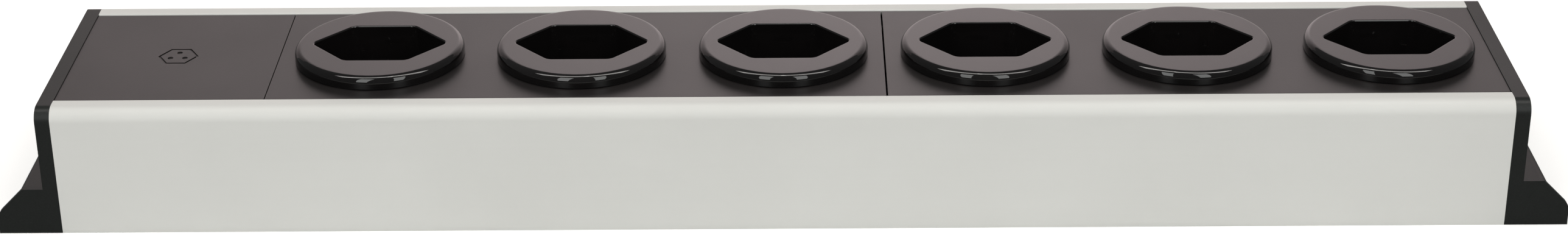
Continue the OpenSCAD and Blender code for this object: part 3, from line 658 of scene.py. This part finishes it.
def half_profile():
    """The outline for Y above 0, as points in depth and height."""
    inner = HALF_DEPTH - WALL
    rail_end = inner - RAIL_REACH
    meets_wall = degrees(atan2(-((PORT_RADIUS ** 2 - (inner - PORT_Y) ** 2) ** 0.5),
                               inner - PORT_Y))
    meets_rail = degrees(atan2((PORT_RADIUS ** 2 - (rail_end - PORT_Y) ** 2) ** 0.5,
                               rail_end - PORT_Y))
    lip_end = HALF_DEPTH - LIP_WIDTH
    inside_radius = EDGE_RADIUS - WALL
    return ([(0, 0), (HALF_DEPTH, 0)]
            + arc((HALF_DEPTH - EDGE_RADIUS, TOP - EDGE_RADIUS), EDGE_RADIUS, 0, 90, 16)
            + arc((lip_end + LIP_EDGE, TOP - LIP_EDGE), LIP_EDGE, 90, 180, 5)
            + arc((lip_end + LIP_EDGE, TOP - WALL + LIP_EDGE), LIP_EDGE, 180, 270, 5)
            + arc((inner - inside_radius, TOP - WALL - inside_radius), inside_radius, 90, 0, 8)
            + [(inner, RAIL_Z[1]), (rail_end, RAIL_Z[1])]
            + port_outline(PORT_HEIGHTS[1], meets_rail, 360 + meets_wall)
            + port_outline(PORT_HEIGHTS[0], -meets_wall, 360 + meets_wall)
            + [(inner, WALL), (0, WALL)])


# %% Extrude the profile
half = half_profile()
section = half + [(-y, z) for y, z in reversed(half[1:-1])]
profile = solid_from("aluminium_profile", [(profile_low.x, y, z) for y, z in section],
                     (profile_high.x - profile_low.x, 0, 0))
lug_x, lug_y = (sum(c) / 2 for c in zip(*[corner.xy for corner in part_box("earth_screw")]))
earth_bore = drill((lug_x, lug_y, -MM), (lug_x, lug_y, WALL + MM), PORT_BORE)
combine(profile, [earth_bore], "DIFFERENCE")
hand_over(profile, "housing_profile")

# %% [markdown]
# ## End caps with their mounting feet
#
# Each end cap is one moulding: a wall with the profile's outline, a foot that reaches outwards
# along the desk, and two gussets that brace it. The wall, the foot and the gussets are made as
# simple solids and joined, the screw holes are drilled with cutters, and one Bevel modifier then
# breaks all the edges, as a mould maker would. The left cap is drawn to the left, with the mains
# inlet's opening, and the right one to the right.

# %% Parts of an end cap
CAP_THICKNESS = 4.2 * MM
FOOT_THICKNESS = 3 * MM
GUSSET_HEIGHT = 13.7 * MM
GUSSET_TOP = 5.9 * MM
GUSSET_THICKNESS = 1.8 * MM
NOSE_RADIUS = 4 * MM
FLANGE_LAND = 0.2 * MM
CAP_ROUNDING = 0.2 * MM
SPIGOT = {"depth": 4 * MM, "half_width": 27.5 * MM, "z": (2.4 * MM, 31.4 * MM), "wall": 1.6 * MM}
SCREW_HOLE = 1.7 * MM
SCREW_HEAD = 2.72 * MM
SCREW_SINK = 1.7 * MM
FOOT_HOLE = 2.25 * MM
FOOT_HOLE_Y = 25 * MM
OVERLAP = 0.02 * MM


def cap_wall_outline():
    """The profile's outer shape: square below, round above."""
    right = arc((HALF_DEPTH - EDGE_RADIUS, TOP - EDGE_RADIUS), EDGE_RADIUS, 0, 90, 16)
    left = [(-y, z) for y, z in reversed(right)]
    return [(-HALF_DEPTH, 0), (HALF_DEPTH, 0)] + right + left


def gusset_outline(reach):
    """The brace from the side, from the wall outwards: a level top, a 45 degree slope, a nose."""
    corner_z = GUSSET_HEIGHT - (reach - GUSSET_TOP)
    nose = (reach - NOSE_RADIUS, corner_z - NOSE_RADIUS * tan(radians(22.5)))
    return ([(-MM, 0), (reach, 0)] + arc(nose, NOSE_RADIUS, 0, 45, 8)
            + [(GUSSET_TOP, GUSSET_HEIGHT), (-MM, GUSSET_HEIGHT)])


def flange_outline(reach):
    """The foot's flat flange from the side, with its outer edge rounded on top."""
    radius = FOOT_THICKNESS - FLANGE_LAND
    return ([(-MM, 0), (reach, 0)] + arc((reach - radius, FLANGE_LAND), radius, 0, 90, 10)
            + [(-MM, FOOT_THICKNESS)])


def foot_parts(face_x, reach, out):
    """The foot's flange and its two gussets. Out is -1 for the left end and 1 for the right."""
    flange = [(face_x + out * x, -HALF_DEPTH, z) for x, z in flange_outline(reach)]
    parts = [solid_from("flange", flange, (0, 2 * HALF_DEPTH, 0))]
    for y in (-HALF_DEPTH, HALF_DEPTH - GUSSET_THICKNESS):
        outline = [(face_x + out * x, y, z) for x, z in gusset_outline(reach)]
        parts.append(solid_from("gusset", outline, (0, GUSSET_THICKNESS, 0)))
    return parts


def spigot(inner_x, out):
    """The hollow collar that plugs into the profile."""
    depth, half_width, wall = SPIGOT["depth"], SPIGOT["half_width"], SPIGOT["wall"]
    low_z, high_z = SPIGOT["z"]
    near, far = sorted((inner_x - out * depth, inner_x + out * 0.5 * MM))
    collar = block((near, -half_width, low_z), (far, half_width, high_z))
    hollow = block((near - 2 * MM, wall - half_width, low_z + wall),
                   (far + 2 * MM, half_width - wall, high_z - wall))
    return combine(collar, [hollow], "DIFFERENCE")


# %% Drill and round an end cap
def end_cap(node, out):
    low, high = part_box(node)
    inner_x = profile_high.x if out > 0 else profile_low.x
    face_x = inner_x + out * CAP_THICKNESS
    reach = abs((high.x if out > 0 else low.x) - face_x)
    cap = solid_from(node + "_moulding", [(inner_x, y, z) for y, z in cap_wall_outline()],
                     (out * CAP_THICKNESS, 0, 0))
    combine(cap, foot_parts(face_x, reach, out) + [spigot(inner_x, out)], "UNION")
    cutters = []
    for side in (-1, 1):
        for z in PORT_HEIGHTS:
            spot = Vector((face_x, side * PORT_Y, z))
            along = Vector((out, 0, 0))
            cutters.append(drill(spot - 8 * MM * along, spot + MM * along, SCREW_HOLE))
            cutters.append(drill(spot - SCREW_SINK * along, spot + OVERLAP * along,
                                 SCREW_HOLE, SCREW_HEAD))
        foot_x, foot_y = face_x + out * reach / 2, side * FOOT_HOLE_Y
        cutters.append(drill((foot_x, foot_y, -MM), (foot_x, foot_y, 5 * MM), FOOT_HOLE))
    combine(cap, cutters, "DIFFERENCE")
    return cap


INLET_Z = 19.5 * MM
INLET_OPENING = (27.4 * MM, 19.4 * MM)
INLET_SCREW_Y = 20 * MM
INLET_SCREW_HEAD = 2.95 * MM
INLET_SCREW_SINK = 1.8 * MM

right_cap = end_cap("end_cap_right", 1)
left_cap = end_cap("end_cap_left", -1)
left_face = profile_low.x - CAP_THICKNESS
opening = block((left_face - MM, -INLET_OPENING[0] / 2, INLET_Z - INLET_OPENING[1] / 2),
                (left_face + 6 * MM, INLET_OPENING[0] / 2, INLET_Z + INLET_OPENING[1] / 2))
inlet_holes = [opening]
for side in (-1, 1):
    y = side * INLET_SCREW_Y
    inlet_holes.append(drill((left_face - MM, y, INLET_Z), (left_face + 6 * MM, y, INLET_Z),
                             SCREW_HOLE))
    inlet_holes.append(drill((left_face - OVERLAP, y, INLET_Z),
                             (left_face + INLET_SCREW_SINK, y, INLET_Z),
                             INLET_SCREW_HEAD, SCREW_HOLE))
combine(left_cap, inlet_holes, "DIFFERENCE")
for cap, node in ((left_cap, "end_cap_left"), (right_cap, "end_cap_right")):
    clean_up(cap)
    round_edges(cap, CAP_ROUNDING, 2)
    hand_over(cap, node)


# %% [markdown]
# ## The covers
#
# The blank cover and the two cover plates share one section: a raised middle that shows between
# the lips, with a flange under each lip. The section is extruded along X. Round holes are cut in
# the plates for the sockets, and the joints between the covers get a fine rounding, because a
# perfectly sharp edge never catches the light.

# %% The covers' section
COVER_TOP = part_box("blank_cover")[1].z
COVER_UNDER = 34.1 * MM
COVER_FLANGE_Z = 35.8 * MM
LIP_GAP = 0.2 * MM
COVER_HALF = HALF_DEPTH - LIP_WIDTH - LIP_GAP
COVER_EDGE = 0.3 * MM
BLANK_JOINT_ROUNDING = 0.12 * MM
PLATE_JOINT_ROUNDING = 0.15 * MM
flange_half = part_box("blank_cover")[1].y


def cover_section():
    shoulder = arc((COVER_HALF - COVER_EDGE, COVER_TOP - COVER_EDGE), COVER_EDGE, 0, 90, 4)
    side = [(flange_half, COVER_UNDER), (flange_half, COVER_FLANGE_Z),
            (COVER_HALF, COVER_FLANGE_Z)] + shoulder
    return side + [(-y, z) for y, z in reversed(side)]


def cover_blank(name, node):
    """A cover's plain length of section, between its node's ends."""
    low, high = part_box(node)
    return solid_from(name, [(low.x, y, z) for y, z in cover_section()], (high.x - low.x, 0, 0))


def at_joint(node):
    """Tests for the upper end edges of a cover, where it meets its neighbour."""
    low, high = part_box(node)

    def wanted(co):
        at_end = min(abs(co.x - low.x), abs(co.x - high.x)) < 0.01 * MM
        return at_end and abs(co.z - COVER_TOP) < 0.01 * MM
    return wanted


# %% [markdown]
# ### The blank cover and its mark
#
# The blank cover carries a small pressed-in mark: a hexagon drawn as a line, with three dots.
# The mark is real geometry. A thin hexagonal ring and three dots are cut 0.3 mm deep.

# %% Cut the mark
MARK_RADIUS = 5.8 * MM
MARK_LINE = 0.7 * MM
MARK_DEPTH = 0.3 * MM
MARK_DOT = 0.8 * MM
MARK_DOT_RING = 2.4 * MM

blank = cover_blank("blank_cover_moulding", "blank_cover")
blank_low, blank_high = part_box("blank_cover")
mark_x = (blank_low.x + blank_high.x) / 2


def mark_cutter(x, y, radius, sides, turn=0.0):
    cutter = drill((x, y, COVER_TOP - MARK_DEPTH), (x, y, COVER_TOP + MM), radius, sides=sides)
    only(cutter)
    bpy.ops.object.mode_set(mode="EDIT")
    bpy.ops.mesh.select_all(action="SELECT")
    bpy.ops.transform.rotate(value=turn, orient_axis="Z", center_override=(x, y, COVER_TOP))
    bpy.ops.object.mode_set(mode="OBJECT")
    return cutter


ring = mark_cutter(mark_x, 0, MARK_RADIUS, 6, radians(30))
combine(ring, [mark_cutter(mark_x, 0, MARK_RADIUS - MARK_LINE, 6, radians(30))], "DIFFERENCE")
dots = [mark_cutter(mark_x + MARK_DOT_RING * cos(radians(a)), MARK_DOT_RING * sin(radians(a)),
                    MARK_DOT, 24) for a in (90, 210, 330)]
combine(blank, [ring] + dots, "DIFFERENCE")
clean_up(blank)
round_edges(blank, BLANK_JOINT_ROUNDING, 2, at_joint("blank_cover"))
hand_over(blank, "blank_cover")

# %% [markdown]
# ### The cover plates
#
# A plate has three round openings for the socket inserts, with their centres taken from the
# inserts' own boxes, and four bosses underneath that the base's screws bite into.

# %% Cut the plates
GANG_PITCH = 58 * MM
CUP_RADIUS = 22 * MM
BOSS_RADIUS = 3.2 * MM
BOSS_Y = 21.4 * MM
BOSS_BOTTOM = 27.6 * MM
BOSS_BORE = 1.5 * MM
BOSS_BORE_DEPTH = 5 * MM


def socket_centre(number):
    low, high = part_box(f"socket_insert_{number}")
    return (low.x + high.x) / 2


for side, sockets in (("left", (1, 2, 3)), ("right", (4, 5, 6))):
    node = f"cover_plate_{side}"
    plate = cover_blank(f"{node}_moulding", node)
    middle = socket_centre(sockets[1])
    bosses, bores = [], []
    for x in (middle - GANG_PITCH / 2, middle + GANG_PITCH / 2):
        for y in (-BOSS_Y, BOSS_Y):
            bosses.append(drill((x, y, BOSS_BOTTOM), (x, y, COVER_UNDER + 0.5 * MM), BOSS_RADIUS))
            bores.append(drill((x, y, BOSS_BOTTOM - MM), (x, y, BOSS_BOTTOM + BOSS_BORE_DEPTH),
                               BOSS_BORE, sides=24))
    openings = [drill((socket_centre(n), 0, COVER_UNDER - MM), (socket_centre(n), 0, TOP + MM),
                      CUP_RADIUS, sides=96) for n in sockets]
    combine(plate, bosses, "UNION")
    combine(plate, bores + openings, "DIFFERENCE")
    clean_up(plate)
    round_edges(plate, PLATE_JOINT_ROUNDING, 2, at_joint(node))
    hand_over(plate, node)

# %% [markdown]
# ## Socket inserts
#
# An insert is a turned-looking cup with a wide, rounded flange, and a deep hexagonal recess with
# rounded corners that a plug's body fills. It is built from its round side first: half its section
# is drawn and spun about the axis. The recess is drawn as its own loop of edges and bridged to the
# flange's inner circle, so the flat top is a ring of clean faces and its inner edge can be
# rounded, which a Boolean cut would make hard.

# %% The recess's outline
FLATS = 23.7 * MM
TIPS = 38.8 * MM
FLAT_LENGTH = 17.8 * MM
RECESS_DEPTH = 12 * MM
TIP_RADIUS = 2 * MM
SHOULDER_RADIUS = 3 * MM
MOUTH_RADIUS = 0.45 * MM
PIN_PITCH = 19 * MM
EARTH_OFFSET = 5 * MM
PIN_HOLE_RADIUS = 2.5 * MM
PIN_HOLE_SINK = 0.5 * MM
RECESS_LIMIT = 19.5 * MM


def rounded_corner(corner, radius, turn, half_turn, steps=8):
    """The arc that rounds a corner. Turn is the way it points, half_turn half of its bend."""
    reach = radius / cos(radians(half_turn))
    centre = (corner[0] - reach * cos(radians(turn)), corner[1] - reach * sin(radians(turn)))
    return arc(centre, radius, turn - half_turn, turn + half_turn, steps)


def recess_outline():
    """Six rounded corners, anticlockwise from the right-hand tip."""
    slope = degrees(atan2(FLATS / 2, (TIPS - FLAT_LENGTH) / 2))
    shoulder = 90 - slope / 2
    x, y = FLAT_LENGTH / 2, FLATS / 2
    return (rounded_corner((TIPS / 2, 0), TIP_RADIUS, 0, 90 - slope)
            + rounded_corner((x, y), SHOULDER_RADIUS, shoulder, slope / 2)
            + rounded_corner((-x, y), SHOULDER_RADIUS, 180 - shoulder, slope / 2)
            + rounded_corner((-TIPS / 2, 0), TIP_RADIUS, 180, 90 - slope)
            + rounded_corner((-x, -y), SHOULDER_RADIUS, 180 + shoulder, slope / 2)
            + rounded_corner((x, -y), SHOULDER_RADIUS, 360 - shoulder, slope / 2))


# %% Spin the flange and cup
FLANGE_RADIUS = 24.3 * MM
FLANGE_EDGE = 2 * MM
FOOT_EDGE = 0.4 * MM
CUP_OUTER = 21.8 * MM
CUP_CHAMFER = 0.5 * MM
FLANGE_GAP = 0.02 * MM
FLANGE_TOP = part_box("socket_insert_1")[1].z
CUP_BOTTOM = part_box("socket_insert_1")[0].z


def insert_section():
    """From the axis under the cup, out and up round the flange, to the edge of its flat top."""
    under = COVER_TOP + FLANGE_GAP
    return ([(0, CUP_BOTTOM), (CUP_OUTER - CUP_CHAMFER, CUP_BOTTOM),
             (CUP_OUTER, CUP_BOTTOM + CUP_CHAMFER),
             (CUP_OUTER, under), (FLANGE_RADIUS - FOOT_EDGE, under)]
            + arc((FLANGE_RADIUS - FOOT_EDGE, under + FOOT_EDGE), FOOT_EDGE, -90, 0, 4)
            + arc((FLANGE_RADIUS - FLANGE_EDGE, FLANGE_TOP - FLANGE_EDGE), FLANGE_EDGE, 0, 90, 12))


SPIN_STEPS = 120
body = draw_line("socket_insert_pattern", [(x, 0, z) for x, z in insert_section()])
only(body)
bpy.ops.object.mode_set(mode="EDIT")
bpy.ops.mesh.select_all(action="SELECT")
bpy.ops.mesh.spin(steps=SPIN_STEPS, angle=2 * pi, center=(0, 0, 0), axis=(0, 0, 1))
bpy.ops.mesh.select_all(action="SELECT")
bpy.ops.mesh.remove_doubles(threshold=2 * SAME_PLACE)
bpy.ops.object.mode_set(mode="OBJECT")
print("spun", len(body.data.vertices), "points")

# %% Bridge the flat top to the recess and sink it
rim = draw_line("recess", [(x, y, FLANGE_TOP) for x, y in recess_outline()])
only(rim)
bpy.ops.object.mode_set(mode="EDIT")
bpy.ops.mesh.select_all(action="DESELECT")
bpy.ops.object.mode_set(mode="OBJECT")
rim.data.vertices[0].select = True
rim.data.vertices[len(rim.data.vertices) - 1].select = True
bpy.ops.object.mode_set(mode="EDIT")
bpy.ops.mesh.edge_face_add()
bpy.ops.object.mode_set(mode="OBJECT")
only(body)
rim.select_set(True)
bpy.ops.object.join()
bpy.ops.object.mode_set(mode="EDIT")
pick_edges(body, lambda co: abs(co.z - FLANGE_TOP) < SAME_PLACE)
bpy.ops.mesh.bridge_edge_loops()


def on_recess(co):
    """The recess's own loop lies well inside the flange's circle."""
    return abs(co.z - FLANGE_TOP) < SAME_PLACE and co.xy.length < RECESS_LIMIT


pick_edges(body, on_recess)
bpy.ops.mesh.extrude_region_move(TRANSFORM_OT_translate={"value": (0, 0, -RECESS_DEPTH)})
bpy.ops.mesh.edge_face_add()
pick_edges(body, on_recess)
bpy.ops.mesh.bevel(offset=MOUTH_RADIUS, segments=4, affect="EDGES", clamp_overlap=True)
bpy.ops.mesh.select_all(action="SELECT")
bpy.ops.mesh.normals_make_consistent(inside=False)
bpy.ops.object.mode_set(mode="OBJECT")

# %% Snap hooks and pin holes
HOOK = Vector((5 * MM, 1.3 * MM, 1 * MM))
HOOK_GAP = 0.2 * MM
hook_top = COVER_UNDER - HOOK_GAP
hooks = [block((-HOOK.x / 2, min(side * (CUP_OUTER - MM), side * (CUP_OUTER + HOOK.y)),
                hook_top - HOOK.z),
               (HOOK.x / 2, max(side * (CUP_OUTER - MM), side * (CUP_OUTER + HOOK.y)), hook_top))
         for side in (-1, 1)]
PIN_SPOTS = ((-PIN_PITCH / 2, 0), (PIN_PITCH / 2, 0), (0, -EARTH_OFFSET))
recess_floor = FLANGE_TOP - RECESS_DEPTH
pins = [drill((x, y, CUP_BOTTOM - MM), (x, y, recess_floor + MM), PIN_HOLE_RADIUS)
        for x, y in PIN_SPOTS]
sinks = [drill((x, y, recess_floor - PIN_HOLE_SINK), (x, y, recess_floor + OVERLAP),
               PIN_HOLE_RADIUS, PIN_HOLE_RADIUS + PIN_HOLE_SINK) for x, y in PIN_SPOTS]
combine(body, hooks, "UNION")
combine(body, pins + sinks, "DIFFERENCE")
clean_up(body, 0.2)

# %% [markdown]
# The finished insert is a pattern at the origin. Six copies, each with a mesh of its own, go to
# the sockets' places.

# %% Place six inserts
def copy_to(pattern, name, shift):
    """A copy of a piece with its own mesh, moved by a shift that is applied to the mesh."""
    only(pattern)
    bpy.ops.object.duplicate()
    piece = bpy.context.object
    piece.name = name
    bpy.ops.transform.translate(value=shift)
    bpy.ops.object.transform_apply(location=True, rotation=True, scale=True)
    return piece


for number in range(1, 7):
    insert = copy_to(body, f"socket_insert_{number}_polished", (socket_centre(number), 0, 0))
    hand_over(insert, f"socket_insert_{number}")
bpy.data.objects.remove(body, do_unlink=True)

# %% [markdown]
# ## The shutter springs
#
# Each shutter is pushed shut by a small coil spring of hard-drawn wire. The end coils are wound
# closed, so that the spring stands square on its seat. The centre line is drawn point by point,
# turned into a curve with a round section, and converted to a mesh. A spring can't ride on two
# bodies, so each one rides on the housing, with a mesh of its own.

# %% Wind one spring
COIL_RADIUS = 1.8 * MM
WIRE = 0.45 * MM
COILS = 8
CLOSED_COILS = 0.9
COIL_STEPS = 20
CLOSED_PITCH = 1.02 * WIRE
END_GAP = 0.03 * MM

spring_low, spring_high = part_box("shutter_spring_1")
spring_x = (spring_low.x + spring_high.x) / 2
spring_z = (spring_low.z + spring_high.z) / 2
spring_start = spring_low.y + WIRE / 2 + END_GAP
spring_end = spring_high.y - WIRE / 2 - END_GAP


def coil_advance(turn):
    """How far along its length the wire is after so many turns: slow at both ends."""
    open_length = spring_end - spring_start - 2 * CLOSED_COILS * CLOSED_PITCH
    open_pitch = open_length / (COILS - 2 * CLOSED_COILS)
    first = min(turn, CLOSED_COILS) * CLOSED_PITCH
    middle = max(0, min(turn, COILS - CLOSED_COILS) - CLOSED_COILS) * open_pitch
    last = max(0, turn - (COILS - CLOSED_COILS)) * CLOSED_PITCH
    return first + middle + last


coil_points = []
for i in range(COILS * COIL_STEPS + 1):
    turn = i / COIL_STEPS
    coil_points.append((spring_x + COIL_RADIUS * cos(2 * pi * turn),
                        spring_start + coil_advance(turn),
                        spring_z + COIL_RADIUS * sin(2 * pi * turn)))
coil = draw_line("spring_pattern", coil_points)
only(coil)
bpy.ops.object.convert(target="CURVE")
coil = bpy.context.object
coil.data.bevel_depth = WIRE / 2
coil.data.bevel_resolution = 2
coil.data.use_fill_caps = True
bpy.ops.object.convert(target="MESH")
coil = bpy.context.object
only(coil)
bpy.ops.object.mode_set(mode="EDIT")
bpy.ops.mesh.select_all(action="SELECT")
bpy.ops.mesh.remove_doubles(threshold=SAME_PLACE)
bpy.ops.mesh.normals_make_consistent(inside=False)
bpy.ops.object.mode_set(mode="OBJECT")

# %% Six springs
for number in range(1, 7):
    shift = socket_centre(number) - socket_centre(1)
    spring = copy_to(coil, f"shutter_spring_{number}_coil", (shift, 0, 0))
    hand_over(spring, f"shutter_spring_{number}", angle=60)
    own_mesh(spring)
bpy.data.objects.remove(coil, do_unlink=True)

# %% [markdown]
# ## The parts inside
#
# The CAD already has the right shapes for what sits inside: shutters, bases, contacts, screws, the
# mains inlet and the wires. What it lacks is the small rounding that every moulded or stamped edge
# has. A copy of each node's mesh is merged, its flat faces are made whole again, and a narrow
# bevel goes round the sharp edges. The radius is set by how the part is made: moulded plastic is
# softer than stamped brass.

# %% Round the parts inside
def open_edges(piece):
    """The number of edges that don't join exactly two faces."""
    count = [0] * len(piece.data.edges)
    index = {tuple(sorted(e.vertices)): i for i, e in enumerate(piece.data.edges)}
    for polygon in piece.data.polygons:
        for key in polygon.edge_keys:
            count[index[tuple(sorted(key))]] += 1
    return sum(1 for n in count if n != 2)


def soften(node, radius, segments=2, body="housing", angle=32):
    """A copy of a CAD node, with its sharp edges rounded."""
    only(frame["nodes"][node])
    bpy.ops.object.duplicate()
    piece = bpy.context.object
    bpy.ops.object.parent_clear(type="CLEAR_KEEP_TRANSFORM")
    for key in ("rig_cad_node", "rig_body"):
        del piece[key]
    piece.name = f"{node}_softened"
    clean_up(piece, merge=2 * SAME_PLACE)
    if radius:
        round_edges(piece, radius, segments)
    hand_over(piece, node, body, angle)
    print(f"  {open_edges(piece)} open edges")


for number in range(1, 7):
    soften(f"shutter_{number}", 0.25 * MM, 3, body=f"shutter_{number}")
for side in ("left", "right"):
    soften(f"module_base_{side}", 0.2 * MM)
    soften(f"base_cover_{side}", 0.2 * MM)
    for line in ("live", "neutral", "earth"):
        soften(f"{line}_bar_{side}", 0.06 * MM, 1)
    soften(f"module_screws_{side}", 0.06 * MM)
for node, radius in (("end_cap_screws", 0.08 * MM), ("inlet_screws", 0.1 * MM),
                     ("inlet_body", 0.3 * MM), ("inlet_pins", 0.3 * MM),
                     ("inlet_receptacles", 0.1 * MM), ("earth_lug", 0.1 * MM),
                     ("earth_screw", 0.1 * MM), ("insulating_liner", 0.05 * MM)):
    soften(node, radius)

# %% [markdown]
# The wires need no rounding. Their sections are many-sided, so smooth shading alone makes them
# look round.

# %% Smooth the wires
for node in ("live_wire", "neutral_wire", "earth_wire", "live_link", "neutral_link",
             "earth_link", "earth_bond_wire"):
    soften(node, None, angle=75)

# %% Finish
import json
